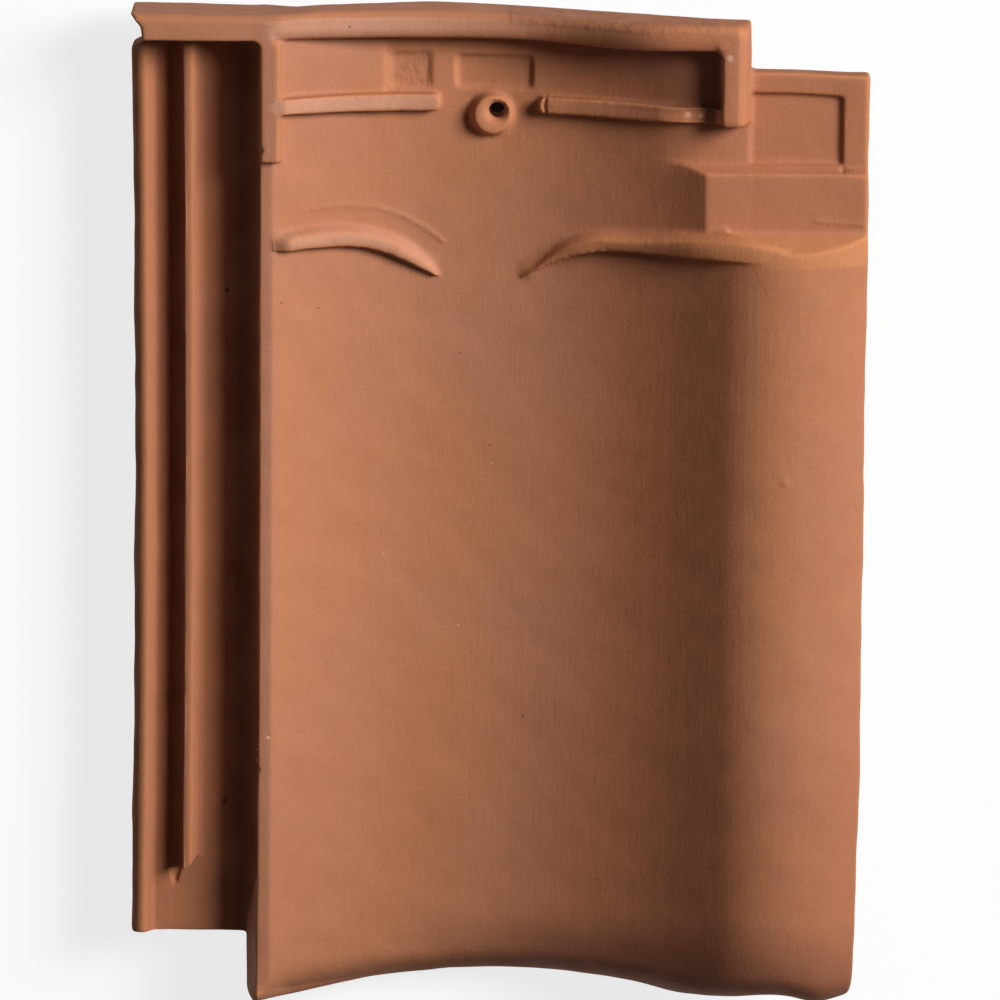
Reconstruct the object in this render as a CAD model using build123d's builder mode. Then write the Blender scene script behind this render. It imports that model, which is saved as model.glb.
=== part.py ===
from build123d import *
import math
import os

# Interlocking clay pantile, pressed and fired in one piece. It lies with its upper face up:
# X runs across the roof slope, +Y runs up the slope to the head, and Z = 0 is the level on
# which the nib tips and the foot lip rest. All sizes are in millimetres. Places across the
# tile are counted from its left edge, and places along it from its head edge. Heights are
# counted from the lowest line of the pan.

# Length of the tile at its square foot edge, and how much lower its left foot corner hangs
square_length = 363.0
corner_drop = 7.0
slant_end = 117.5
foot_round = 3.5
clay = 12.0
under_start = 60.5

# Side lock along the left edge
side_lock_length = 346.0
lock_floor_drop = 0.5
lock_slab = 11.0
rim_width = 6.5
rim_height = 5.5
rim_foot = 14.0
edge_break = 1.5
on_face = 0.1
groove_start = 13.2
groove_end = 18.6
groove_depth = 1.8
groove_tip = 329.5
rib_start = 19.0
rib_crest = 22.2
rib_end = 25.2
rib_height = 5.5
rib_length = 321.3
rib_slant = 4.5
notch_width = 4.8
notch_start = 5.0
notch_end = 12.5
notch_slant = 2.5

# Wall between the side lock and the pan
wall_foot = 42.5
wall_start = 46.7
wall_end = 51.5
wall_height = 17.0
head_wall_start = 47.3
head_wall_end = 53.8
head_wall_height = 20.0
head_wall_length = 55.0

# Pan and roll: two arcs that meet at the trough, a straight slope and the arc of the roll
trough = 108.4
trough_radius = 170.0
slope_angle = 34.0
slope_run = 12.15
roll_radius = 42.0
roll_reach = 27.9
lip_height = 18.0
lip_width = 10.0
hidden_rib_shift = 6.1
hidden_rib_width = 10.0
hidden_rib_tip = 7.0

# Head rim, with the leg that turns down its right end
head_rim_width = 10.2
head_rim_lift = 11.5
head_rim_top = 33.0
head_rim_blend = 60.0
head_rim_round = 3.3
head_rim_bevel = 4.3
head_rim_root = 4.0
head_rim_root_end = 190.0
leg_width = 11.8
leg_length = 38.2
leg_round = 2.8
inside_round = 3.7

# Cut down corner under the roll of the tile above
corner_width = 42.7
corner_setback = 19.0
plate_height = 28.5
plate_border = 7.5
plate_side_border = 9.4
plate_blend = 50.0
plate_reach = 52.7
panel_height = 27.0
platform_height = 32.5
platform_reach = 76.8
step_angle = 62.0
head_slab = 9.0
head_fill_overlap = 21.0

# Bars, panels, nail boss and nail hole of the head
bar_start = 31.7
bar_end = 37.7
bar_height = 5.0
left_bar_end = 111.8
left_bar_round = 1.5
right_bar_start = 147.5
right_bar_round = 2.7
left_panel_end = 91.6
left_panel_height = 0.8
hole_across = 132.7
hole_down = 37.4
hole_diameter = 5.8
boss_across = 131.3
boss_down = 38.9
boss_diameter = 13.4
boss_height = 4.5
funnel_diameter = 9.5
mark_depth = 0.9
mark_width = 27.6
mark_length = 12.1
mark_across = 131.6
mark_down = 23.4
patch_depth = 0.6
patch_width = 15.6
patch_length = 13.9
patch_across = 101.2
patch_down = 23.1
panel_round = 1.5

# Curved water bars at the end of the head lap
water_bar_height = 4.5
bar_root = 3.0

# Hanging nibs and foot lip underneath
nib_depth = 11.0
nib_width = 35.0
nib_thickness = 15.0
nib_seat = 36.0
nib_round = 3.0
left_nib = 62.0
right_nib = 168.0
foot_lip_width = 16.0
foot_lip_start = 55.0
nose_radius = 11.0
droop_length = 31.0
droop = 4.5

# Arcs of the pan and the roll, worked out from the sizes above
slope = math.radians(slope_angle)
slope_low = trough + trough_radius * math.sin(slope)
slope_high = slope_low + slope_run
crest = slope_high + roll_radius * math.sin(slope)
overall_width = crest + roll_reach
overall_length = square_length + corner_drop

# Levels and frame
left = -overall_width / 2
right = overall_width / 2
head = overall_length / 2
pan = clay + nib_depth
tall = pan + 100.0
floor = pan - lock_floor_drop
trough_x = left + trough
crest_x = left + crest
left_radius = ((trough - wall_end) ** 2 + wall_height**2) / (2 * wall_height)
slope_low_z = pan + trough_radius * (1 - math.cos(slope))
slope_high_z = slope_low_z + slope_run * math.tan(slope)
roll_centre_z = slope_high_z - roll_radius * math.cos(slope)
crest_z = roll_centre_z + roll_radius
head_rim_end = overall_width - corner_width
leg_start = head_rim_end - leg_width
step_lean = 1 / math.tan(math.radians(step_angle))


def station(down):
    """Upright plane across the tile, at a distance down from the head edge."""
    return Plane(origin=(0, head - down, 0), x_dir=(1, 0, 0), z_dir=(0, -1, 0))


def side_plane(across):
    """Upright plane along the tile. Its own x runs down from the head edge."""
    return Plane(origin=(left + across, head, 0), x_dir=(0, -1, 0), z_dir=(-1, 0, 0))


def plan_plane(z):
    """Level plane with its origin at the corner of the left edge and the head edge."""
    return Plane(origin=(left, head, z))


def surface_height(across):
    """Height of the upper face of the pan and roll at a place across the tile."""
    if across < trough:
        return pan + left_radius - math.sqrt(left_radius**2 - (across - trough) ** 2)
    if across < slope_low:
        return pan + trough_radius - math.sqrt(trough_radius**2 - (across - trough) ** 2)
    if across < slope_high:
        return slope_low_z + (across - slope_low) * math.tan(slope)
    return roll_centre_z + math.sqrt(roll_radius**2 - (across - crest) ** 2)


def left_arc(lift, across):
    """Left arc of the pan, raised square to the face by lift, from a place to the trough."""
    reach = math.degrees(math.asin((trough - across) / (left_radius - lift)))
    return CenterArc((trough_x, pan + left_radius), left_radius - lift, 270 - reach, reach)


def pan_curve(lift, crest_lift, across):
    """Upper face of the tile from a place to the crest, raised square by lift.

    At the crest the roll is raised by crest_lift instead, with a roll arc that suits both.
    """
    start = left_arc(lift, across)
    low = CenterArc((trough_x, pan + trough_radius), trough_radius - lift, 270, slope_angle)
    radius = roll_radius + (lift - crest_lift * math.cos(slope)) / (1 - math.cos(slope))
    high = CenterArc((crest_x, crest_z + crest_lift - radius), radius, 90, slope_angle)
    Line(low @ 1, high @ 1)
    return start @ 0, high @ 0


def level_blend(lift, level, radius):
    """Arc that rounds the right arc of the pan, raised by lift, over to a level face."""
    rise = level - lift
    pan_radius = trough_radius - lift
    run = math.sqrt(rise * (2 * (pan_radius + radius) - rise))
    turn = math.degrees(math.asin(run / (pan_radius + radius)))
    return CenterArc((trough_x + run, pan + level - radius), radius, 90, turn)


def band(lower, upper, crest_upper, across):
    """Strip of the section between two lifts, from a place across the tile to the crest."""
    with BuildSketch(station(0)) as strip:
        with BuildLine():
            upper_start, upper_end = pan_curve(upper, crest_upper, across)
            lower_start, lower_end = pan_curve(lower, lower, across)
            Line(lower_start, upper_start)
            Line(lower_end, upper_end)
        make_face()
    return strip.sketch


def below_pan(across):
    """Everything below the middle of the clay, from a place across the tile to the crest."""
    with BuildSketch(station(0)) as space:
        with BuildLine():
            start, end = pan_curve(-clay / 2, -clay / 2, across)
            Polyline(start, (left + across, 0), (crest_x, 0), end)
        make_face()
    return space.sketch


def section():
    """Cross-section of the tile between its head and its foot."""
    bottom = pan - lock_slab
    inner_radius = roll_radius - clay
    inner_angle = math.degrees(math.acos((roll_reach - lip_width) / inner_radius))
    outer_angle = math.degrees(math.acos(roll_reach / roll_radius))
    with BuildSketch(station(0)) as profile:
        with BuildLine():
            pan_start, pan_end = pan_curve(0, 0, wall_end)
            side_lock = Polyline(
                (left, bottom),
                (left, pan + rim_height - edge_break),
                (left + edge_break, pan + rim_height),
                (left + rim_width, pan + rim_height),
                (left + rim_foot, floor),
                (left + wall_foot, floor),
                (left + wall_start, pan + wall_height),
                pan_start,
            )
            roll_side = CenterArc(
                (crest_x, roll_centre_z), roll_radius, outer_angle, 90 - outer_angle
            )
            roll_inside = CenterArc(
                (crest_x, roll_centre_z), inner_radius, inner_angle, 90 - inner_angle
            )
            Polyline(
                roll_side @ 0,
                (right, pan + lip_height),
                (right - lip_width, pan + lip_height),
                roll_inside @ 0,
            )
            lower_start, lower_end = pan_curve(-clay, -clay, under_start)
            Polyline(lower_start, (left + wall_start + edge_break, bottom), side_lock @ 0)
        make_face()
    return profile.sketch


def head_rim():
    """Raised rim that closes the head of the tile, rounded over along its back."""
    wall_run = trough - head_wall_end
    wall_rise = head_wall_height - head_rim_lift
    wall_radius = (wall_run**2 + wall_rise**2) / (2 * wall_rise)
    wall_angle = math.degrees(math.asin(wall_run / wall_radius))
    pan_radius = trough_radius - head_rim_lift
    root_radius = trough_radius + head_rim_root
    root_angle = math.degrees(math.asin((head_rim_root_end - trough) / root_radius))
    with BuildPart() as rim:
        with BuildSketch(station(0)):
            with BuildLine():
                over_wall = CenterArc(
                    (trough_x, pan + head_rim_lift + wall_radius),
                    wall_radius,
                    270 - wall_angle,
                    wall_angle,
                )
                blend = level_blend(head_rim_lift, head_rim_top, head_rim_blend)
                pan_turn = math.degrees(math.asin(((blend @ 1).X - trough_x) / pan_radius))
                CenterArc((trough_x, pan + trough_radius), pan_radius, 270, pan_turn)
                Polyline(
                    blend @ 0,
                    (left + head_rim_end - head_rim_bevel, pan + head_rim_top),
                    (left + head_rim_end, pan + head_rim_top - head_rim_bevel),
                    (left + head_rim_end, pan + lip_height),
                )
                root = CenterArc((trough_x, pan + trough_radius), root_radius, 270, root_angle)
                Line(root @ 1, (left + head_rim_end, pan + lip_height))
                left_root = left_arc(-head_rim_root, under_start)
                Polyline(
                    left_root @ 0,
                    (left + wall_end, pan - head_rim_root),
                    (left, pan - head_rim_root),
                    (left, pan + head_wall_height),
                    over_wall @ 0,
                )
            make_face()
        extrude(amount=head_rim_width)
        back = rim.faces().sort_by(Axis.Y)[-1]
        back_edges = back.edges().filter_by(
            lambda edge: min((edge @ 0).Z, (edge @ 1).Z) > pan + head_rim_lift - on_face
            and abs((edge @ 0).X - (edge @ 1).X) > on_face
        )
        fillet(back_edges, head_rim_round)
    return rim.part


def head_step(outline, reach, foot_height):
    """Space above a lowered face of the head, ended by a steep face at its reach."""
    run = (tall - foot_height) * step_lean
    with BuildPart() as space:
        extrude(outline, amount=clay + reach + run)
        with BuildSketch(side_plane(0)):
            with BuildLine():
                Polyline(
                    (-clay, 0),
                    (reach, 0),
                    (reach, foot_height),
                    (reach + run, tall),
                    (-clay, tall),
                    close=True,
                )
            make_face()
        extrude(amount=-2 * overall_width, mode=Mode.INTERSECT)
    return space.part


def above_plate():
    """Section of the space above the plate, which the pan runs into with a round."""
    with BuildSketch(station(-clay)) as space:
        with BuildLine():
            blend = level_blend(0, panel_height, plate_blend)
            Polyline(
                blend @ 0,
                (left + head_rim_end, pan + panel_height),
                (left + head_rim_end, pan + plate_height),
                (right + clay, pan + plate_height),
                (right + clay, tall),
                ((blend @ 1).X, tall),
                blend @ 1,
            )
        make_face()
    return space.sketch


def above_platform():
    """Section of the space above the platform."""
    with BuildSketch(station(-clay)) as space:
        with BuildLine():
            Polyline(
                (left + slope_low, pan + platform_height),
                (right + clay, pan + platform_height),
                (right + clay, tall),
                (left + slope_low, tall),
                close=True,
            )
        make_face()
    return space.sketch


def plan_block(start, end, upper, lower, corner):
    """Plan rectangle between two places across the tile and two places down it."""
    with BuildSketch(plan_plane(0)) as block:
        with Locations(((start + end) / 2, -(upper + lower) / 2)):
            RectangleRounded(end - start, lower - upper, corner)
    return block.sketch


def panel(across, down, width, length):
    """Plan of a small panel, round at its corners, about a middle point."""
    with BuildSketch(plan_plane(0)) as plan:
        with Locations((across, -down)):
            RectangleRounded(width, length, panel_round)
    return plan.sketch


def on_pan(plan, lower, upper, ceiling=tall):
    """Plan outline raised from the pan, or sunk in it, between two lifts of its curve."""
    with BuildPart() as form:
        extrude(plan, amount=ceiling)
        section_strip = band(lower, upper, upper, wall_end)
        extrude(section_strip, amount=overall_length, mode=Mode.INTERSECT)
    return form.part


def water_bar(head_side, foot_side):
    """Curved bar on the pan that dies out at the crest of the roll.

    Its head side slopes like the steps of the head, and its foot side is upright. Each side
    is a row of places across and down, where it meets the face of the pan.
    """
    base = pan - bar_root
    with BuildPart() as bar:
        with BuildSketch(plan_plane(base)):
            with BuildLine():
                sloping = Spline(
                    [
                        (across, step_lean * (surface_height(across) - base) - down)
                        for across, down in head_side
                    ]
                )
                Polyline(
                    sloping @ 1,
                    ((sloping @ 1).X, -overall_length),
                    ((sloping @ 0).X, -overall_length),
                    sloping @ 0,
                )
            make_face()
        extrude(amount=tall, dir=(0, -step_lean, 1))
        with BuildSketch(plan_plane(0)):
            with BuildLine():
                upright = Spline([(across, -down) for across, down in foot_side])
                Polyline(
                    upright @ 1, ((upright @ 1).X, 0), ((upright @ 0).X, 0), upright @ 0
                )
            make_face()
        extrude(amount=tall, mode=Mode.INTERSECT)
        section_strip = band(-bar_root, water_bar_height, 0, wall_end)
        extrude(section_strip, amount=overall_length, mode=Mode.INTERSECT)
    return bar.part


def hanging_piece(start, end, upper, lower, corner):
    """Block under the pan, from the rest level up to the middle of the clay."""
    with BuildPart() as block:
        extrude(plan_block(start, end, upper, lower, corner), amount=tall)
        extrude(below_pan(wall_end), amount=overall_length, mode=Mode.INTERSECT)
        fillet(block.edges().group_by(Axis.Z)[0], nib_round)
    return block.part


def prism(outline, bottom, top):
    """Plan outline with upright walls, between two heights above the pan."""
    with BuildPart() as piece:
        with BuildSketch(plan_plane(pan + bottom)):
            with BuildLine():
                Polyline(*[(across, -down) for across, down in outline], close=True)
            make_face()
        extrude(amount=top - bottom)
    return piece.part


def block_between(start, end, upper, lower, bottom, top):
    """Plain block between places across and down the tile and two heights above the pan."""
    return prism([(start, upper), (end, upper), (end, lower), (start, lower)], bottom, top)


def strip_along(outline, upper, lower):
    """Piece with one cross-section, between two places down the tile."""
    with BuildPart() as piece:
        with BuildSketch(station(upper)):
            with BuildLine():
                Polyline(*[(left + across, pan + z) for across, z in outline], close=True)
            make_face()
        extrude(amount=lower - upper)
    return piece.part


def foot_lip():
    """Thick lip under the foot, parallel to the pan, that covers the tile below."""
    with BuildPart() as lip:
        add(
            block_between(
                foot_lip_start,
                slope_high - edge_break,
                square_length - foot_lip_width,
                overall_length,
                -pan,
                tall,
            )
        )
        section_strip = band(-clay - nib_depth, -clay / 2, -clay / 2, foot_lip_start)
        extrude(section_strip, amount=overall_length, mode=Mode.INTERSECT)
    return lip.part


def roll_droop():
    """Space above the roll where its crest bends down to the foot edge."""
    radius = (droop_length**2 + droop**2) / (2 * droop)
    start = square_length - droop_length
    turn = math.degrees(math.asin((droop_length + clay) / radius))
    with BuildPart() as space:
        with BuildSketch(side_plane(0)):
            with BuildLine():
                bend = CenterArc((start, crest_z - radius), radius, 90 - turn, turn)
                Polyline(bend @ 0, ((bend @ 0).X, tall), (start, tall), bend @ 1)
            make_face()
        extrude(amount=-2 * overall_width)
    return space.part


def outside_corner(across, down, side):
    """Space outside a rounded foot corner: side is 1 at a right corner, -1 at a left one."""
    with BuildPart() as space:
        with BuildSketch(plan_plane(0)):
            with Locations((across, -down)):
                Rectangle(2 * foot_round, 2 * foot_round)
            with Locations((across - side * foot_round, foot_round - down)):
                Circle(foot_round, mode=Mode.SUBTRACT)
        extrude(amount=tall)
    return space.part


def inside_corner(across, bottom, top):
    """Filling that rounds the corner between the head rim and a wall on its right."""
    with BuildPart() as web:
        with BuildSketch(plan_plane(pan + bottom)):
            with Locations((across, -head_rim_width)):
                Rectangle(2 * inside_round, 2 * inside_round)
            with Locations((across - inside_round, -head_rim_width - inside_round)):
                Circle(inside_round, mode=Mode.SUBTRACT)
        extrude(amount=top - bottom)
    return web.part


def head_leg():
    """Leg of the head rim, with a round foot."""
    with BuildPart() as leg:
        extrude(
            plan_block(leg_start, head_rim_end, -leg_round, leg_length, leg_round), amount=tall
        )
        add(
            strip_along(
                [
                    (leg_start, lip_height),
                    (leg_start + edge_break, head_rim_top),
                    (head_rim_end - head_rim_bevel, head_rim_top),
                    (head_rim_end, head_rim_top - head_rim_bevel),
                    (head_rim_end, lip_height),
                ],
                head_rim_round,
                leg_length,
            ),
            mode=Mode.INTERSECT,
        )
    return leg.part


def lock_rib():
    """Middle rib of the side lock, cut off aslant at its foot end."""
    with BuildPart() as rib:
        add(
            strip_along(
                [
                    (rib_start, -lock_floor_drop),
                    (rib_start, rib_height),
                    (rib_crest, rib_height),
                    (rib_end, -lock_floor_drop),
                ],
                0,
                rib_length,
            )
        )
        add(
            prism(
                [
                    (rib_start, rib_length),
                    (rib_end, rib_length - rib_slant),
                    (rib_end, rib_length),
                ],
                -lock_floor_drop,
                rib_height,
            ),
            mode=Mode.SUBTRACT,
        )
    return rib.part


plate_space = head_step(above_plate(), plate_reach, pan + panel_height)
platform_space = head_step(above_platform(), platform_reach, pan + platform_height)
under_slope = head_rim_end - head_fill_overlap
under_lip = overall_width - lip_width / 2
plate_slab = block_between(
    under_slope, under_lip, 0, plate_reach + head_slab / 2, lip_height, panel_height + 1
)
platform_slab = block_between(
    under_slope + head_slab,
    under_lip,
    0,
    platform_reach + head_slab / 2,
    platform_height - head_slab,
    platform_height + 1,
)
plate_panel = block_between(
    head_rim_end,
    overall_width - plate_side_border,
    corner_setback + plate_border,
    plate_reach,
    panel_height,
    plate_height + 1,
)
corner_gap = block_between(
    head_rim_end, overall_width + clay, -clay, corner_setback, -tall, tall
)
lock_gap = block_between(
    -clay, wall_foot, side_lock_length, overall_length + clay, -tall, tall
)
past_foot = prism(
    [
        (-clay, overall_length),
        (wall_foot + foot_round, overall_length),
        (slant_end, square_length),
        (overall_width + clay, square_length),
        (overall_width + clay, overall_length + clay),
        (-clay, overall_length + clay),
    ],
    -tall,
    tall,
)
lock_groove = prism(
    [
        (groove_start, 0),
        (groove_start, rib_length),
        ((groove_start + groove_end) / 2, groove_tip),
        (groove_end, rib_length),
        (groove_end, 0),
    ],
    -lock_floor_drop - groove_depth,
    rib_height,
)
rim_notch = prism(
    [
        (-clay, -clay),
        (0, 0),
        (notch_width - edge_break / 2, notch_start),
        (notch_width, notch_end),
        (0, notch_end + notch_slant),
        (-clay, notch_end + notch_slant),
    ],
    -tall,
    tall,
)
head_wall = strip_along(
    [
        (wall_foot, -lock_floor_drop),
        (head_wall_start, head_wall_height),
        (head_wall_end, head_wall_height),
        (head_wall_end + edge_break, wall_height - edge_break),
        (head_wall_end + edge_break, 0),
    ],
    head_rim_round,
    head_wall_length,
)
hidden_rib = block_between(
    crest - hidden_rib_shift,
    crest - hidden_rib_shift + hidden_rib_width,
    platform_reach,
    square_length - foot_lip_width,
    hidden_rib_tip,
    crest_z - pan - clay / 2,
)
left_bar = on_pan(
    plan_block(wall_end, left_bar_end, bar_start, bar_end, left_bar_round),
    -bar_root,
    bar_height,
    pan + head_wall_height,
)
right_bar = on_pan(
    plan_block(right_bar_start, leg_start + leg_width / 2, bar_start, bar_end, right_bar_round),
    -bar_root,
    bar_height,
    pan + head_rim_top,
)
left_panel = on_pan(
    plan_block(wall_end, left_panel_end, 0, bar_end, panel_round), -bar_root, left_panel_height
)
centre_mark = on_pan(panel(mark_across, mark_down, mark_width, mark_length), -mark_depth, clay)
rough_patch = on_pan(
    panel(patch_across, patch_down, patch_width, patch_length), -patch_depth, clay
)
lens_reach = platform_reach + step_lean * (crest_z - pan - platform_height)
left_water_bar = water_bar(
    [(wall_end, 81.8), (66, 79.6), (84, 80.5), (98.5, 85.4), (112, 97.6)],
    [(wall_end, 87.8), (74, 87.4), (88, 88.8), (98.6, 92.7), (112, 99.6)],
)
right_water_bar = water_bar(
    [(141.3, 98.0), (149, 91.4), (156, 85.2), (166.2, 80.7), (180, 80), (208, 77), (crest, lens_reach)],
    [(141.3, 99.4), (150, 94.5), (158.3, 90.4), (169.8, 87.4), (190, 86.4), (215, 86.4), (crest, 86.4)],
)
nibs = [
    hanging_piece(start, start + nib_width, nib_seat - nib_thickness, nib_seat, nib_round)
    for start in (left_nib, right_nib)
]
lip = foot_lip()
droop_space = roll_droop()
rim = head_rim()
leg = head_leg()
rib = lock_rib()
left_corner = outside_corner(wall_foot, overall_length, -1)
right_corner = outside_corner(overall_width, square_length, 1)
channel_corner = inside_corner(head_wall_start, -lock_floor_drop, head_wall_height)
pocket_corner = inside_corner(leg_start + edge_break, lip_height, head_rim_top)

with BuildPart() as roof_tile:
    extrude(section(), amount=overall_length)
    add(lip)
    add(hidden_rib)
    add(past_foot, mode=Mode.SUBTRACT)
    foot_edges = roof_tile.edges().filter_by(
        lambda edge: (edge @ 0.5).Y < head - square_length + clay / 2
        and (edge @ 0.5).X > left + wall_end
        and abs((edge @ 0.5).Z - surface_height((edge @ 0.5).X - left)) < on_face
        and abs((edge @ 0).X - (edge @ 1).X) > clay / 2
    )
    fillet(foot_edges, nose_radius)
    add(droop_space, mode=Mode.SUBTRACT)
    add(left_corner, mode=Mode.SUBTRACT)
    add(right_corner, mode=Mode.SUBTRACT)
    add(lock_gap, mode=Mode.SUBTRACT)
    add(lock_groove, mode=Mode.SUBTRACT)
    add(rib)
    add(plate_slab)
    add(platform_slab)
    add(plate_space, mode=Mode.SUBTRACT)
    add(platform_space, mode=Mode.SUBTRACT)
    add(plate_panel, mode=Mode.SUBTRACT)
    add(left_water_bar)
    add(right_water_bar)
    add(left_panel)
    add(left_bar)
    add(right_bar)
    add(centre_mark, mode=Mode.SUBTRACT)
    add(rough_patch, mode=Mode.SUBTRACT)
    add(rim)
    add(leg)
    add(head_wall)
    add(channel_corner)
    add(pocket_corner)
    add(corner_gap, mode=Mode.SUBTRACT)
    add(rim_notch, mode=Mode.SUBTRACT)
    add(nibs)
    boss_z = surface_height(boss_across)
    with Locations((left + boss_across, head - boss_down, boss_z - bar_root)):
        Cone(
            boss_diameter / 2 + bar_root,
            boss_diameter / 2,
            boss_height + bar_root,
            align=(Align.CENTER, Align.CENTER, Align.MIN),
        )
    with Locations((left + hole_across, head - hole_down, boss_z + boss_height)):
        CounterSinkHole(hole_diameter / 2, funnel_diameter / 2, depth=tall, counter_sink_angle=90)

roof_tile.part.label = "roof_tile"
os.makedirs("parts", exist_ok=True)
export_step(roof_tile.part, "parts/roof_tile.step")
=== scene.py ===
import math

import bpy
import numpy as np
from mathutils import Matrix, Vector


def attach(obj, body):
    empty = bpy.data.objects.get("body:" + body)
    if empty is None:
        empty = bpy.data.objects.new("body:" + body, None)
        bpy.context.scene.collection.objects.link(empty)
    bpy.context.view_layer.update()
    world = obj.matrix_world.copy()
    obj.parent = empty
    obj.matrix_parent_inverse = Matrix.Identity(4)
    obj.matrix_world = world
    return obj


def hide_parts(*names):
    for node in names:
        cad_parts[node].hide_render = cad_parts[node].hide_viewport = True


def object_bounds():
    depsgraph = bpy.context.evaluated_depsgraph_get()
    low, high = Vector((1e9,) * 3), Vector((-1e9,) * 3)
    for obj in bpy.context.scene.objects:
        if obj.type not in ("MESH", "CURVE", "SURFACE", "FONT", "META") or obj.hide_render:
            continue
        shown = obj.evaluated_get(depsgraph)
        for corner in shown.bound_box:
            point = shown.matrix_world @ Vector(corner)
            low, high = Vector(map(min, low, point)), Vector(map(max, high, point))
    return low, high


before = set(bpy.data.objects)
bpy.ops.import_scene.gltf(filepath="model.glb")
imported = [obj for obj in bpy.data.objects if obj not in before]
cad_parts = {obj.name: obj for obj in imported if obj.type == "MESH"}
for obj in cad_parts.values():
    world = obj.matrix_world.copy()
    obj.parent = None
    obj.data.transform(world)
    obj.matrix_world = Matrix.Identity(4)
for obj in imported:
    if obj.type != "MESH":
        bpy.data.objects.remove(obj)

cad_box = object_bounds()

# The tile's own measures, in metres. Places across it are counted from the left edge, and
# places down it from the head edge, as in the part's source.
MM = 0.001
LEFT = cad_box[0].x
HEAD = cad_box[1].y

# Camera: it looks down on the tile from the head side, as the photograph does.
CAMERA_DISTANCE = 3.4
CAMERA_TILT = math.radians(11.48)
CAMERA_ROLL = math.radians(0.472)
AIM = Vector((0.0015, 0.0024, 0.023))
VIEW_WIDTH = 0.36664
SENSOR_WIDTH = 36.0
FAR_CLIP = 20.0

# Light: one large lamp from the upper right, and a faint even sky.
KEY_DIRECTION = (1.12, 0.64, 1.0)
KEY_DISTANCE = 3.0
KEY_SIZE = 1.35
KEY_POWER = 123.0
SKY_LIGHT = 0.02
FLOOR_COLOUR = (0.24, 0.24, 0.24, 1)
FLOOR_GLOW = 0.80
FLOOR_SIZE = 12.0
WHITE = (1, 1, 1, 1)

# Spot of the floor that shows through the nail hole, left without glow as painted shade, and the
# radii between which it turns white
UNDER_HOLE = (-0.0008, 0.143, 0.0)
HOLE_SPOT = (0.006, 0.012)

# Clay mesh: each turn of softening moves a point by EASE of the way to its neighbours' mean
VOXEL = 0.7 * MM
SOFTENING = 5
EDGE_REACH = 10
EASE = 0.5
MOST_TRIANGLES = 188000

# From here on, shapes are in millimetres. Heights called above are above the pan's lowest line.
# Upper face of the pan and the roll, as in the part's source
PAN = 23.0
TROUGH = 108.4
LEFT_RADIUS = 103.7
LEFT_REACH = 56.9
TROUGH_RADIUS = 170.0
SLOPE_LOW = 203.46
SLOPE_TAN = 0.6745
CREST = 239.1
CREST_HEIGHT = 44.44
ROLL_RADIUS = 42.0
FOOT = 363.0
DROOP_START = 332.0
DROOP_RADIUS = 109.03
NOSE_RADIUS = 11.0

# Head rim, its leg and the bar that runs into the leg
RIM_FOOT = 11.0
RIM_RIGHT = 226.0
RIM_RISE = 5.5
RIM_NOSE = 10.2
RIM_ROUND = 2.0
LEG_LEFT = 212.1
LEG_MIDDLE = 219.0
LEG_FOOT = 39.5
BAR_TOP = 27.2
HIGHEST_FLOOR = 27.0

# Plan rectangles of the tile: places across, then places down
RIGHT_BAR = ((180, 212.3), (31.0, 38.6))
PATCH = ((92.9, 109.5), (15.7, 30.5))
PANEL = ((117.3, 145.9), (16.9, 29.9))
SUNK_PLATE = ((224.6, 257.8), (26.2, 53.2))
LEFT_WATER_BAR = ((49, 115), (76, 102))
RIGHT_WATER_TAIL = ((138, 172), (77, 102))
PALE_RIM = ((50, 150), (2.5, 9))
PALE_BAR = ((52, 112), (32, 37.6))

# Side lock: its outer rim, middle rib and the wall beside its channel
LOCK_HEAD = 10.4
LOCK_RIM = (5.2, 13.6)
LOCK_RIM_TOP = 5.5
LOCK_RIM_SLOPE = 1.9
LOCK_RIB = ((18.4, 26.2), (LOCK_HEAD, 326))
LOCK_RIB_CREST = 22.4
LOCK_WALL = ((42.2, 47.2), (LOCK_HEAD, 342))
LOCK_WALL_FACE = 47.0

# Kiln swell: wavelengths and sizes, the waves of each, and the seed of their directions
SWELL = ((90, 0.16), (46, 0.10), (23, 0.06), (12, 0.04))
SWELL_WAVES = 4
SEED = 11

# Height at which the clay starts, just clear of the floor
LOWEST = 0.02

# Clay colours
ORANGE = (0.465, 0.178, 0.082, 1)
PINK = (0.435, 0.181, 0.104, 1)
# also the painted shade towards the foot end
DEEP = (0.320, 0.110, 0.048, 1)
# for worn edges, and for the painted highlights on the right water bar's crest and the roll's
# shoulder
BRIGHT = (0.560, 0.210, 0.080, 1)
CREAM = (0.66, 0.47, 0.31, 1)
SOOT = (0.07, 0.035, 0.025, 1)
# painted shade of the straight slope, also used to darken the sunk plate
SHADE = (0.395, 0.134, 0.058, 1)
SCUFF = (0.210, 0.095, 0.056, 1)
PALE = (0.600, 0.300, 0.195, 1)
# painted shade: the darkest shade, laid on the lock's channel, the head pocket and the foot edge
PAINTED_DARK_SHADE = (0.130, 0.040, 0.018, 1)


def make_camera():
    data = bpy.data.cameras.new("camera")
    data.sensor_width = SENSOR_WIDTH
    data.lens = SENSOR_WIDTH * CAMERA_DISTANCE / VIEW_WIDTH
    data.clip_end = FAR_CLIP
    camera = bpy.data.objects.new("camera", data)
    bpy.context.collection.objects.link(camera)
    back = Vector((0, math.sin(CAMERA_TILT), math.cos(CAMERA_TILT)))
    right = Vector((1, 0, 0))
    up = back.cross(right)
    turn = Matrix.Rotation(CAMERA_ROLL, 3, back)
    right = turn @ right
    up = turn @ up
    stand = Matrix((right, up, back)).transposed().to_4x4()
    stand.translation = AIM + back * CAMERA_DISTANCE
    camera.matrix_world = stand
    bpy.context.scene.camera = camera


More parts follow.
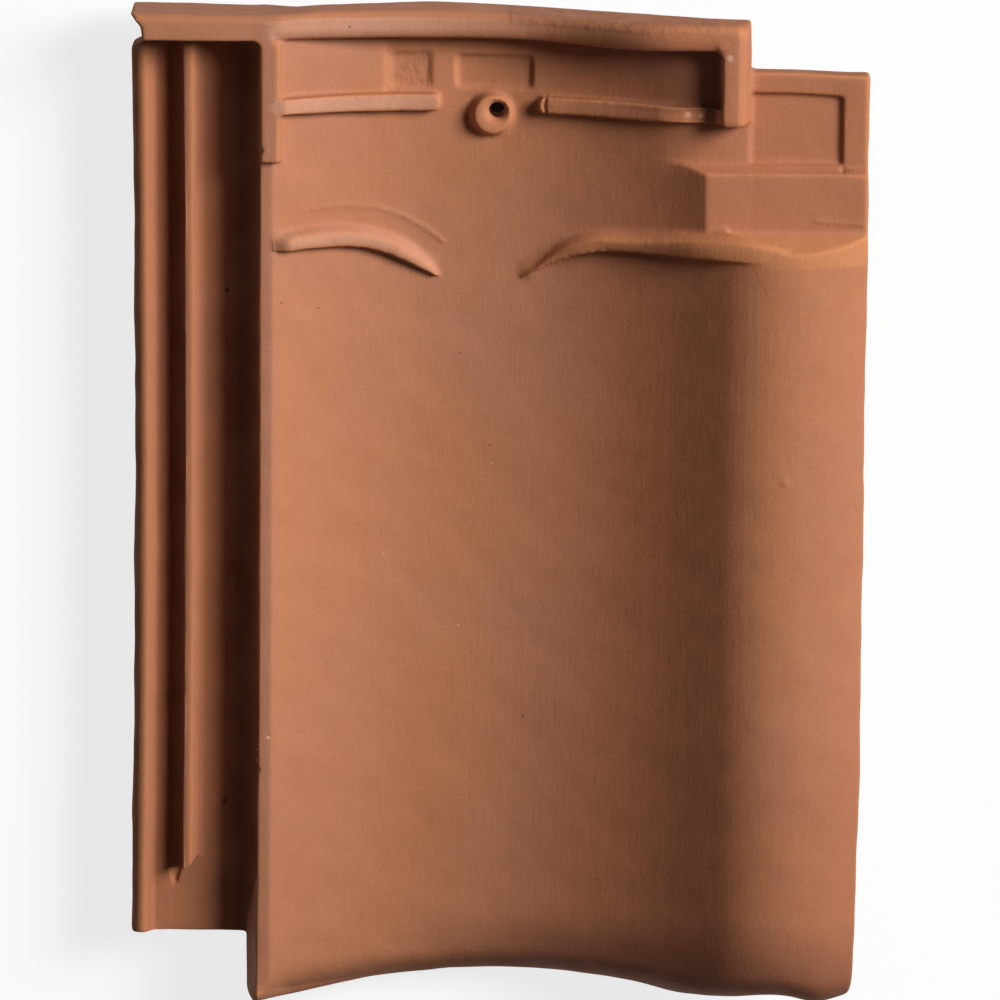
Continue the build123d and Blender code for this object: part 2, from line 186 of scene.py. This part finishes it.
class Tree:
    """Short forms for building one node tree."""

    def __init__(self, tree):
        self.tree = tree
        tree.nodes.clear()

    def locate(self):
        """Find the shaded point, for across, down and box to use."""
        self.spot = self.node("ShaderNodeTexCoord").outputs["Object"]
        self.split = self.node("ShaderNodeSeparateXYZ", {"Vector": self.spot}).outputs
        return self.spot

    def node(self, kind, inputs=None, **settings):
        made = self.tree.nodes.new(kind)
        for name, value in settings.items():
            setattr(made, name, value)
        for name, value in (inputs or {}).items():
            self.feed(made.inputs[name], value)
        return made

    def feed(self, socket, value):
        if isinstance(value, bpy.types.NodeSocket):
            self.tree.links.new(value, socket)
        else:
            socket.default_value = value

    def math(self, operation, first, second=0.0, clamp=False):
        made = self.node("ShaderNodeMath", {0: first, 1: second}, operation=operation)
        made.use_clamp = clamp
        return made.outputs[0]

    def span(self, value, low, high, start=0.0, end=1.0):
        """Value mapped smoothly from low..high to start..end."""
        made = self.node(
            "ShaderNodeMapRange",
            {"Value": value, "From Min": low, "From Max": high, "To Min": start, "To Max": end},
            interpolation_type="SMOOTHSTEP",
        )
        return made.outputs["Result"]

    def mix(self, factor, first, second):
        made = self.node("ShaderNodeMix", data_type="RGBA")
        self.feed(made.inputs[0], factor)
        self.feed(made.inputs[6], first)
        self.feed(made.inputs[7], second)
        return made.outputs[2]

    def times(self, first, *others):
        """Product of several values."""
        for other in others:
            first = self.math("MULTIPLY", first, other)
        return first

    def noise(self, vector, scale, detail=3.0, roughness=0.5):
        made = self.node(
            "ShaderNodeTexNoise",
            {"Vector": vector, "Scale": scale, "Detail": detail, "Roughness": roughness},
        )
        return made.outputs["Fac"]

    def distance(self, first, second):
        made = self.node("ShaderNodeVectorMath", {0: first, 1: second}, operation="DISTANCE")
        return made.outputs["Value"]

    def attribute(self, name):
        return self.node("ShaderNodeAttribute", attribute_name=name).outputs["Fac"]

    def across(self, low, high, start=0.0, end=1.0):
        """Smooth change between two places across the tile."""
        return self.span(self.split["X"], LEFT + low * MM, LEFT + high * MM, start, end)

    def down(self, low, high, start=0.0, end=1.0):
        """Smooth change between two places down the tile."""
        return self.span(self.split["Y"], HEAD - low * MM, HEAD - high * MM, start, end)

    def box(self, across, down, edge, height=1.0):
        """A height inside a plan rectangle of the tile, with soft edges."""
        inside = self.times(
            self.across(across[0], across[0] + edge, 0, height),
            self.across(across[1], across[1] - edge),
        )
        inside_down = self.times(
            self.down(down[0], down[0] + edge), self.down(down[1], down[1] - edge)
        )
        return self.times(inside, inside_down)

    def stretched(self, vector, scale):
        made = self.node("ShaderNodeMapping", {"Vector": vector, "Scale": scale})
        return made.outputs["Vector"]


def new_material(name):
    material = bpy.data.materials.new(name)
    material.use_nodes = True
    return material, Tree(material.node_tree)


def seen_directly(tree):
    """1 on rays that show the backdrop itself: from the camera, a mirror or glass."""
    path = tree.node("ShaderNodeLightPath").outputs
    mirrored = tree.math("ADD", path["Is Camera Ray"], path["Is Glossy Ray"], clamp=True)
    return tree.math("ADD", mirrored, path["Is Transmission Ray"], clamp=True)


def make_floor():
    """White floor that keeps the tile's shadow, with a painted dark spot under the nail hole."""
    material, tree = new_material("studio_floor")
    diffuse = tree.node("ShaderNodeBsdfDiffuse", {"Color": FLOOR_COLOUR, "Roughness": 1.0})
    away = tree.distance(tree.locate(), UNDER_HOLE)
    # painted shade: no glow in the spot under the nail hole
    strength = tree.times(seen_directly(tree), FLOOR_GLOW, tree.span(away, *HOLE_SPOT))
    glow = tree.node("ShaderNodeEmission", {"Color": WHITE, "Strength": strength})
    both = tree.node("ShaderNodeAddShader", {0: diffuse.outputs[0], 1: glow.outputs[0]})
    tree.node("ShaderNodeOutputMaterial", {"Surface": both.outputs[0]})
    bpy.ops.mesh.primitive_plane_add(size=FLOOR_SIZE)
    floor = bpy.context.object
    floor.name = "studio_floor"
    floor.data.materials.append(material)


def make_sky():
    """Faint even light, which looks white where it is seen directly."""
    world = bpy.data.worlds.new("studio")
    world.use_nodes = True
    sky = Tree(world.node_tree)
    strength = sky.span(seen_directly(sky), 0.0, 1.0, SKY_LIGHT, 1.0)
    shade = sky.node("ShaderNodeBackground", {"Color": WHITE, "Strength": strength})
    sky.node("ShaderNodeOutputWorld", {"Surface": shade.outputs[0]})
    bpy.context.scene.world = world


def make_lamp():
    data = bpy.data.lights.new("key", "AREA")
    data.shape = "DISK"
    data.size = KEY_SIZE
    data.energy = KEY_POWER
    key = bpy.data.objects.new("key", data)
    toward = Vector(KEY_DIRECTION).normalized()
    key.location = toward * KEY_DISTANCE
    key.rotation_euler = toward.to_track_quat("Z", "Y").to_euler()
    bpy.context.collection.objects.link(key)


def apply_modifiers(piece):
    """Give the piece the mesh that its modifiers make."""
    graph = bpy.context.evaluated_depsgraph_get()
    made = bpy.data.meshes.new_from_object(piece.evaluated_get(graph))
    piece.modifiers.clear()
    piece.data = made


def bell(distance, radius):
    """Soft bump of height 1 that ends at a radius."""
    near = np.clip(1 - (distance / radius) ** 2, 0, 1)
    return near * near


def line_distance(x, y, points):
    """Distance in plan to a chain of straight stretches."""
    nearest = np.full(x.shape, 1e9)
    for (x0, y0), (x1, y1) in zip(points, points[1:]):
        run = (x1 - x0) ** 2 + (y1 - y0) ** 2
        share = np.clip(((x - x0) * (x1 - x0) + (y - y0) * (y1 - y0)) / run, 0, 1)
        away = np.hypot(x - x0 - share * (x1 - x0), y - y0 - share * (y1 - y0))
        nearest = np.minimum(nearest, away)
    return nearest


def ramp(values, low, high):
    """Smooth step from 0 at low to 1 at high."""
    share = np.clip((values - low) / (high - low), 0, 1)
    return share * share * (3 - 2 * share)


def pan_height(across):
    """Height of the pan above the trough, up to the straight slope of the roll."""
    inward = np.clip(TROUGH - across, 0, LEFT_REACH)
    arc = np.clip(across, TROUGH, SLOPE_LOW) - TROUGH
    fall = LEFT_RADIUS - np.sqrt(LEFT_RADIUS**2 - inward**2)
    rise = TROUGH_RADIUS - np.sqrt(TROUGH_RADIUS**2 - arc**2)
    return fall + rise + np.clip(across - SLOPE_LOW, 0, None) * SLOPE_TAN


def within(values, low, high):
    return (values > low) & (values < high)


def inside(across, down, area):
    """True inside a plan rectangle of the tile."""
    return within(across, *area[0]) & within(down, *area[1])


def reshape_rim(across, down, above):
    """Taller right half of the head rim and its leg, with rounded edges, and a lower bar end."""
    floor = np.minimum(pan_height(across), HIGHEST_FLOOR)
    rim = (down < RIM_FOOT) & (across < RIM_RIGHT)
    leg = (down < LEG_FOOT) & within(across, LEG_LEFT, RIM_RIGHT)
    taller = RIM_RISE * ramp(across, 140, 196) * ramp(above - floor, 1.0, 4.5)
    above = above + np.where(rim | leg, taller, 0)

    bar = inside(across, down, RIGHT_BAR) & (above > BAR_TOP)
    lower = (above - BAR_TOP) * 0.6 * ramp(across, 182, 204)
    above = above - np.where(bar, lower, 0)

    front = 6.2 - 1.7 * ramp(across, 120, 180)
    round_over = RIM_ROUND * (np.clip(down - front, 0, None) / (RIM_NOSE - front)) ** 2
    crown = (down < RIM_FOOT) & (across < 212) & (above > floor + 3.5) & (above > 8)
    above = above - np.where(crown, round_over, 0)

    leg_crown = 1.3 * (np.clip(abs(across - LEG_MIDDLE) - 3.2, 0, 3.8) / 3.8) ** 2
    leg_crown += 2.4 * (np.clip(down - 34.5, 0, 5) / 5) ** 2
    return above - np.where(leg & (down > 9) & (above > floor + 5), leg_crown, 0)


def deepen_recesses(across, down, above):
    """Deeper patch and panel beside the nail hole, and a deeper sunk plate."""
    recess = inside(across, down, PATCH) | inside(across, down, PANEL)
    sunk = pan_height(across) - above
    above = above - np.where(recess, ramp(sunk, 0.2, 0.6) * 0.9, 0)
    plate = ramp(28.3 - above, 0, 1.2) * ramp(above, 20, 26)
    return above - np.where(inside(across, down, SUNK_PLATE), plate, 0)


def reshape_lock(across, down, above):
    """Steeper rim, taller rib and steeper wall beside the side lock's channels."""
    start = ramp(down, LOCK_HEAD, 16)
    slope = LOCK_RIM_TOP - (across - LOCK_RIM[0]) * LOCK_RIM_SLOPE
    slope = np.clip(slope, -0.5, LOCK_RIM_TOP)
    rim = within(across, *LOCK_RIM) & (above > slope) & (above < 6) & (down > LOCK_HEAD)
    above = np.where(rim, slope, above)
    rib = inside(across, down, LOCK_RIB) & within(above, 0.3, 6)
    above = above - 0.11 * np.clip(4.6 - across, 0, None) ** 2 * ramp(above, 0, 4) * start
    crest = np.maximum(above, 5.3 * ramp(above, 0.3, 2.0) * (across < LOCK_RIB_CREST))
    above = np.where(rib, crest * (1 + 0.5 * start), above)
    wall = inside(across, down, LOCK_WALL) & within(above, -2, 17.5)
    upright = ramp(above, -2, 0.5) * ramp(LOCK_WALL[1][1] - down, 0, 20) * 0.85
    return np.where(wall, across + (LOCK_WALL_FACE - across) * upright, across), above


def reshape_water_bars(across, down, above):
    """Water bars with rounded tops, that sink into the pan at their ends."""
    lift = above - pan_height(across)
    bar = inside(across, down, LEFT_WATER_BAR) & (lift > 0.2)
    keep = ramp(across, 50.5, 59) - 0.45 * ramp(across, 96, 112)
    above = above - np.where(bar, lift * (1 - keep), 0)
    tail = inside(across, down, RIGHT_WATER_TAIL) & within(lift, 0.2, 7)
    keep = 0.35 + 0.65 * ramp(across, 141, 166)
    above = above - np.where(tail, lift * (1 - keep), 0)
    fade = (1 - ramp(across, 200, 238)) * (lift > -3)
    left_ridge, right_ridge = [
        rise * fade * bell(line_distance(across, down, chain), width)
        for chain, width, rise in RIDGES
    ]
    return above + left_ridge + right_ridge, left_ridge, right_ridge


def reshape_roll_foot(across, down, above):
    """Round crest in place of the flat that the part's source cuts where the roll bends down."""
    arc = np.clip(across - CREST, -ROLL_RADIUS * 0.6, ROLL_RADIUS * 0.7)
    crown = CREST_HEIGHT - ROLL_RADIUS + np.sqrt(ROLL_RADIUS**2 - arc**2)
    nose = np.clip(down - (FOOT - NOSE_RADIUS), 0, NOSE_RADIUS)
    crown -= NOSE_RADIUS - np.sqrt(NOSE_RADIUS**2 - nose**2)
    run = np.clip(down - DROOP_START, 0, 40)
    flat = CREST_HEIGHT - DROOP_RADIUS + np.sqrt(DROOP_RADIUS**2 - run**2)
    missing = np.clip(crown - flat, 0, None) * (down > DROOP_START) * (across > 210)
    return above + missing * ramp(above, flat - 4, flat - 0.4)


def from_table(table, at, reach=9):
    """Values of a table at given places, with its corners smoothed over a reach."""
    places = np.arange(table[0][0] - 30.0, table[-1][0] + 30.0)
    weights = bell(np.arange(-reach, reach + 1), reach + 1)
    rows = np.convolve(np.interp(places, *zip(*table)), weights / weights.sum(), "same")
    return np.interp(at, places, rows)


def kiln_swell(across, down, height):
    """Long low waves of the clay's faces."""
    generator = np.random.default_rng(SEED)
    swell = np.zeros(len(across))
    for length, size in SWELL:
        for turn in generator.uniform(0, math.pi, SWELL_WAVES):
            phase = generator.uniform(0, 2 * math.pi)
            travel = across * math.cos(turn) + down * math.sin(turn) + 0.6 * height
            swell += size / 2 * np.sin(2 * math.pi * travel / length + phase)
    return swell


def small_relief(across, down):
    """Dents, bumps and creases of the upper face."""
    lift = np.zeros(len(across))
    for x, y, radius, depth in DENTS:
        lift -= depth * bell(np.hypot(across - x, down - y), radius)
    for chain, width, rise in CREASES:
        lift += rise * bell(line_distance(across, down, chain), width)
    return lift


def kiln_bends(across, down):
    """Shifts across and down the tile that bend its sides and wave its ends."""
    middle = np.sin(math.pi * np.clip(down / 346, 0, 1))
    foot = np.clip((down - 250) / 113, 0, 1) ** 2
    left_side = np.clip(1 - across / 60, 0, 1)
    right_side = np.clip((across - 210) / 57, 0, 1)
    bend = 1.3 * middle * left_side - 0.3 * foot * left_side - 1.3 * foot * right_side
    bend -= 1.6 * np.clip((down - 350) / 13, 0, 1) ** 2 * right_side
    wave = from_table(FOOT_SHIFTS, across) * foot
    wave += from_table(HEAD_SHIFTS, across) * np.clip(1 - down / 14, 0, 1)
    wave += 1.2 * ramp(across, 238, 264) * np.clip((46 - down) / 20, 0, 1)
    return bend, wave


def foot_drop(across, down, height):
    """Drop of the clay where the foot end rolls over. It squashes the sheet onto the floor."""
    wide = ramp(across, 90, 230)
    reach = 25 + 7 * wide
    drop = (2.2 + 4.5 * wide) * np.clip((down - FOOT) / reach + 1, 0, 1.1) ** 2
    drop += 3.6 * np.clip((down - (FOOT - NOSE_RADIUS)) / NOSE_RADIUS, 0, 1.1) ** 2.2
    share = np.clip((height + PAN) / (PAN + pan_height(across)), 0, 1)
    return drop * (ramp(across, 42, 60) * share)


# Shifts of the wavy foot edge: place across and shift down the tile
FOOT_SHIFTS = [
    (44, 0.2), (57, 2.1), (70, 1.6), (90, 0.4), (112, 0.35), (134, -1.1), (156, -1.35),
    (178, 0.0), (189, 1.0), (200, 2.9), (211, 2.3), (222, 0.8), (233, -1.4), (244, -1.6),
    (255, 3.0), (262, 1.0),
]

# Shifts of the head edge, in the same way
HEAD_SHIFTS = [
    (0, 0.8), (24, 1.1), (45, 1.1), (57, 0.4), (66, 0.0), (120, 0.0), (150, 0.7), (172, 1.2),
    (196, 1.1), (210, 0.8), (222, 1.2),
]

# Dents: across, down, radius and depth. A bump has a depth below zero.
DENTS = [
    (34.8, 105.5, 1.6, 1.5),
    (34.4, 297.0, 1.9, 1.5),
    (47.2, 50.5, 1.5, 0.7),
    (46.4, 281.0, 1.6, 0.8),
    (46.2, 277.5, 1.2, 0.6),
    (50.8, 268.6, 1.0, 0.5),
    (238.0, 166.5, 2.2, -0.45),
    (257.6, 54.0, 1.6, 0.8),
]

# Rounded tops of the water bars: places along each, half its width and its height
RIDGES = [
    ([(56, 84.2), (74, 83.2), (87, 84.4), (98, 88.4), (108, 95.4)], 5.0, 0.45),
    ([(145, 95.8), (151, 91.0), (158.5, 86.6), (170, 83.2), (190, 82.0), (238, 82.0)], 5.0, 0.9),
]

# Low creases that the mould left: places along each, half its width and its height
CREASES = [
    ([(66, 73.5), (78, 72.6), (88, 73.4), (98.5, 76.8), (109, 82.8), (113.5, 86.5)], 1.6, 0.35),
    ([(248, 72.4), (256, 73.0), (265, 73.4)], 1.3, 0.4),
    ([(150.4, 31.6), (149.8, 35.0), (150.8, 38.6)], 0.9, -0.8),
]


def values_of(items, name, width):
    """Numbers of one property of all the items of a mesh, one row for each."""
    numbers = np.empty(len(items) * width)
    items.foreach_get(name, numbers)
    return numbers.reshape(-1, width)


def averager(mesh):
    """Function that gives each point the mean of its neighbours' values."""
    first, second = values_of(mesh.edges, "vertices", 2).astype(int).T
    count = len(mesh.vertices)
    degree = np.bincount(first, minlength=count) + np.bincount(second, minlength=count)

    def mean(rows):
        columns = [
            np.bincount(first, column[second], count) + np.bincount(second, column[first], count)
            for column in rows.T
        ]
        return np.stack(columns, axis=1) / degree[:, None]

    return mean


def eased(points, mean, turns):
    """Points after some turns of softening."""
    for _ in range(turns):
        points = points + EASE * (mean(points) - points)
    return points


def pale_places(across, down, above, left_ridge):
    """How pale the clay is on the left water bar, the left bar and the head rim's front."""
    rim = inside(across, down, PALE_RIM) & (above > 8)
    bar = inside(across, down, PALE_BAR) & (above > pan_height(across) + 3)
    bloom = np.maximum(left_ridge * 2, np.where(rim | bar, 0.9, 0))
    return bloom * (1 - 0.8 * ramp(across, 85, 150))


def shape_points(mesh):
    """Move the mesh's points to the clay's own shape, and mark its edges and pale places."""
    points = values_of(mesh.vertices, "co", 3)
    across = (points[:, 0] - LEFT) / MM
    down = (HEAD - points[:, 1]) / MM
    above = points[:, 2] / MM - PAN
    above = deepen_recesses(across, down, reshape_rim(across, down, above))
    above, left_ridge, right_ridge = reshape_water_bars(across, down, above)
    bloom = pale_places(across, down, above, left_ridge)
    above = reshape_roll_foot(across, down, above)
    across, above = reshape_lock(across, down, above)

    mean = averager(mesh)
    points = np.stack((across, down, above + PAN), axis=1)
    points = eased(points, mean, SOFTENING)
    softer = eased(points, mean, EDGE_REACH)
    flip = np.array((1, -1, 1))
    normals = values_of(mesh.vertices, "normal", 3)
    sharpness = np.sum((points - softer) * flip * normals, axis=1)
    # Adding the right water bar's crest to the edge mark paints a highlight along it.
    edge = np.clip(sharpness / 0.35 + 0.7 * right_ridge, -1, 1)

    across, down, height = points[:, 0], points[:, 1], points[:, 2] - PAN
    upper = np.clip(normals[:, 2] * 2, 0, 1)
    off_face = kiln_swell(across, down, height) + small_relief(across, down) * upper
    bend, wave = kiln_bends(across, down)
    drop = foot_drop(across, down, height)
    points = points + np.stack((bend, wave, -drop), axis=1)
    points += normals * flip * off_face[:, None]
    points[:, 2] = np.maximum(points[:, 2], LOWEST)
    points *= (MM, -MM, MM)
    points += (LEFT, HEAD, 0)
    mesh.vertices.foreach_set("co", points.ravel())
    for name, values in (("edge", edge), ("bloom", bloom)):
        mesh.attributes.new(name, "FLOAT", "POINT").data.foreach_set("value", values)
    mesh.update()


def make_clay_piece(node):
    """Finer mesh of the tile, with the soft edges of pressed clay."""
    piece = bpy.data.objects.new("tile_clay", node.data.copy())
    piece.matrix_world = node.matrix_world
    bpy.context.collection.objects.link(piece)
    remesh = piece.modifiers.new("remesh", "REMESH")
    remesh.mode = "VOXEL"
    remesh.voxel_size = VOXEL
    apply_modifiers(piece)
    shape_points(piece.data)
    triangles = 2 * len(piece.data.polygons)
    if triangles > MOST_TRIANGLES:
        thin = piece.modifiers.new("thin", "DECIMATE")
        thin.ratio = MOST_TRIANGLES / triangles
        apply_modifiers(piece)
    piece.data.shade_smooth()
    return piece


def make_patterns(tree):
    """Noise patterns of the clay, by name."""
    patterns = {
        name: tree.noise(tree.spot, scale, detail, roughness)
        for name, (scale, detail, roughness) in NOISES.items()
    }
    for name, (stretch, roughness) in STRETCHED_NOISES.items():
        patterns[name] = tree.noise(tree.stretched(tree.spot, stretch), 1.0, 1, roughness)
    return patterns


def dusty_places(tree, patterns, wear_and_highlight):
    """Places with pale pink dust: the band by the lock, the head rim, a corner and drifts."""
    band = tree.times(tree.across(44, 46), tree.across(54, 51))
    head = tree.down(16, 9, 0.0, 0.6)
    corner = tree.times(tree.across(198, 214), tree.down(79, 76))
    dusty = tree.math("MAXIMUM", tree.math("MAXIMUM", band, head), corner)
    drift = tree.span(patterns["broad"], 0.40, 0.66, 0.0, 0.6)
    dusty = tree.math("MAXIMUM", tree.times(dusty, 0.8), drift)
    return tree.math("SUBTRACT", dusty, wear_and_highlight, clamp=True)


def tint_layers(tree, patterns, scuffed, rough):
    """Tints of the clay, as pairs of a strength and a colour, laid one over the other."""
    patchy, streaks, grain = patterns["patchy"], patterns["streaks"], patterns["grain"]
    # worn edges, with a painted highlight along the right water bar's crest
    wear_and_highlight = tree.span(tree.attribute("edge"), 0.10, 0.75)
    # painted shade, growing towards the foot end and stronger on the right
    toe = tree.down(200, 355, 0.0, 0.38)
    right_toe = tree.times(toe, tree.across(120, 190))
    specks = tree.node(
        "ShaderNodeTexVoronoi", {"Vector": tree.spot, "Scale": 75, "Randomness": 1.0}
    ).outputs
    rare = tree.math("GREATER_THAN", tree.noise(specks["Position"], 31, 0), 0.66)
    return [
        (dusty_places(tree, patterns, wear_and_highlight), PINK),
        # painted shade on the straight slope, the foot end, the lock's channel and the head
        # pocket, and a darker sunk plate
        # painted shade on the straight slope, which faces away from the lamp
        (tree.times(tree.across(125, 205, 0.0, 0.75), tree.across(245, 212)), SHADE),
        # the sunk plate is darker
        (tree.box((224, 268), (18, 77), 2, 0.6), SHADE),
        # painted shade that darkens the clay towards the foot end, where it rolls over
        (tree.math("ADD", toe, right_toe), DEEP),
        # painted shade in the lock's channel beside the wall
        (tree.box((33, 48), (10, 352), 7, 0.95), PAINTED_DARK_SHADE),
        # painted shade in the head pocket, darkest towards the leg
        (tree.times(tree.box((150, 214), (9, 35), 3), tree.across(150, 211, 0.0, 0.62)), PAINTED_DARK_SHADE),
        # painted shade along the foot edge, and a darker crest of the roll
        (tree.times(tree.down(329, 358, 0.0, 0.8), tree.across(85, 160)), PAINTED_DARK_SHADE),
        (tree.across(225, 260, 0.0, 0.35), DEEP),
        # pale places, worn edges with a painted highlight along the right water bar's crest, the
        # side lock, and a painted highlight on the shoulder of the roll
        (tree.times(tree.attribute("bloom"), 0.75), PALE),
        (tree.times(wear_and_highlight, 0.55), BRIGHT),
        (tree.box((-4, 40), (11, 352), 4, 0.5), DEEP),
        # painted highlight on the shoulder of the roll, the face turned to the lamp
        (tree.box((198, 270), (76, 89), 2, 0.6), BRIGHT),
        # the grain of the clay
        (tree.span(patchy, 0.56, 0.80, 0.0, 0.16), DEEP),
        (tree.span(streaks, 0.52, 0.80, 0.0, 0.07), DEEP),
        (tree.span(grain, 0.50, 0.74, 0.0, 0.10), DEEP),
        (tree.span(grain, 0.50, 0.30, 0.0, 0.04), CREAM),
        # the scuffed band on the head rim, the rough patch and the dark specks
        (tree.times(scuffed, 0.2), SCUFF),
        (tree.times(rough, 0.25), SCUFF),
        (tree.times(tree.span(specks["Distance"], 0.050, 0.022), rare, 0.7), SOOT),
    ]


def clay_material(top):
    """Unglazed terracotta. The function top gives the surface point at a place on the tile."""
    material, tree = new_material("fired_clay")
    tree.locate()
    patterns = make_patterns(tree)
    patchy, lumps = patterns["patchy"], patterns["lumps"]
    scuffed = tree.times(tree.box((136, 214), (-1, 5), 2), tree.span(patchy, 0.38, 0.52))
    rough = tree.box((93.5, 108.8), (16.3, 29.8), 1)
    rough = tree.times(rough, tree.span(lumps, 0.35, 0.65, 0.3, 1.0))

    colour = ORANGE
    for strength, tint in tint_layers(tree, patterns, scuffed, rough):
        colour = tree.mix(strength, colour, tint)
    wobble = tree.times(tree.noise(tree.spot, 420, 2), 1.3 * MM)
    for x, y, radius, tint, strength in SPOTS:
        reach = tree.math("ADD", tree.distance(tree.spot, top(x, y)), wobble)
        mask = tree.span(reach, (radius + 0.7) * MM, (radius + 0.1) * MM, 0.0, strength)
        colour = tree.mix(mask, colour, tint)

    relief = tree.times(tree.math("MAXIMUM", scuffed, rough), lumps, 0.4 * MM)
    for name, height in RELIEF.items():
        relief = tree.math("ADD", relief, tree.times(patterns[name], height * MM))
    bump = tree.node("ShaderNodeBump", {"Strength": 0.8, "Distance": 1.0, "Height": relief})
    shader = tree.node(
        "ShaderNodeBsdfPrincipled",
        {
            "Base Color": colour,
            "Roughness": tree.span(patchy, 0.3, 0.7, 0.74, 0.86),
            "Specular IOR Level": 0.35,
            "Normal": bump.outputs["Normal"],
        },
    )
    tree.node("ShaderNodeOutputMaterial", {"Surface": shader.outputs[0]})
    return material


# Noise patterns: scale, detail and roughness
NOISES = {
    "broad": (14, 3, 0.5),
    "patchy": (70, 3, 0.6),
    "grain": (900, 1, 0.6),
    "lumps": (260, 2, 0.55),
}

# Stretched noise patterns: scale along each axis, and roughness
STRETCHED_NOISES = {"streaks": ((60, 620, 80), 0.55), "weave": ((900, 90, 300), 0.5)}

# Height of each pattern in the fine relief
RELIEF = {"lumps": 0.11, "grain": 0.09, "streaks": 0.05, "weave": 0.08}

# Small marks on the upper face: across, down, radius, colour and strength
SPOTS = [
    (47.4, 50.0, 1.3, CREAM, 0.9),
    (46.5, 281.0, 1.2, CREAM, 0.75),
    (46.3, 277.0, 0.9, CREAM, 0.7),
    (51.0, 268.8, 0.9, CREAM, 0.6),
    (201.6, 34.5, 1.3, CREAM, 0.45),
    (206.2, 34.9, 1.0, CREAM, 0.5),
    (216.2, 12.3, 1.5, CREAM, 0.45),
    (34.8, 105.5, 1.0, SOOT, 0.9),
    (34.4, 297.0, 1.2, SOOT, 0.9),
    (92.5, 202.5, 0.8, CREAM, 0.4),
    (132.0, 168.5, 0.7, CREAM, 0.4),
    (120.0, 229.5, 0.7, CREAM, 0.4),
    (55.0, 107.0, 0.5, SOOT, 0.8),
    (131.0, 161.5, 0.5, SOOT, 0.7),
    (144.0, 263.0, 0.6, SOOT, 0.7),
    (198.0, 345.0, 0.5, SOOT, 0.7),
]


bpy.context.scene.view_settings.view_transform = "Standard"
make_camera()
make_floor()
make_sky()
make_lamp()
node = bpy.data.objects["roof_tile"]
clay = make_clay_piece(node)


def top_point(across, down):
    """Point of the clay's upper face at a place on the tile."""
    above_all = Vector((LEFT + across * MM, HEAD - down * MM, 200 * MM))
    _, point, _, _ = clay.ray_cast(above_all, Vector((0, 0, -1)))
    return point


fired_clay = clay_material(top_point)
node.material_slots[0].material = fired_clay
clay.data.materials.clear()
clay.data.materials.append(fired_clay)
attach(clay, "root")
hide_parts("roof_tile")
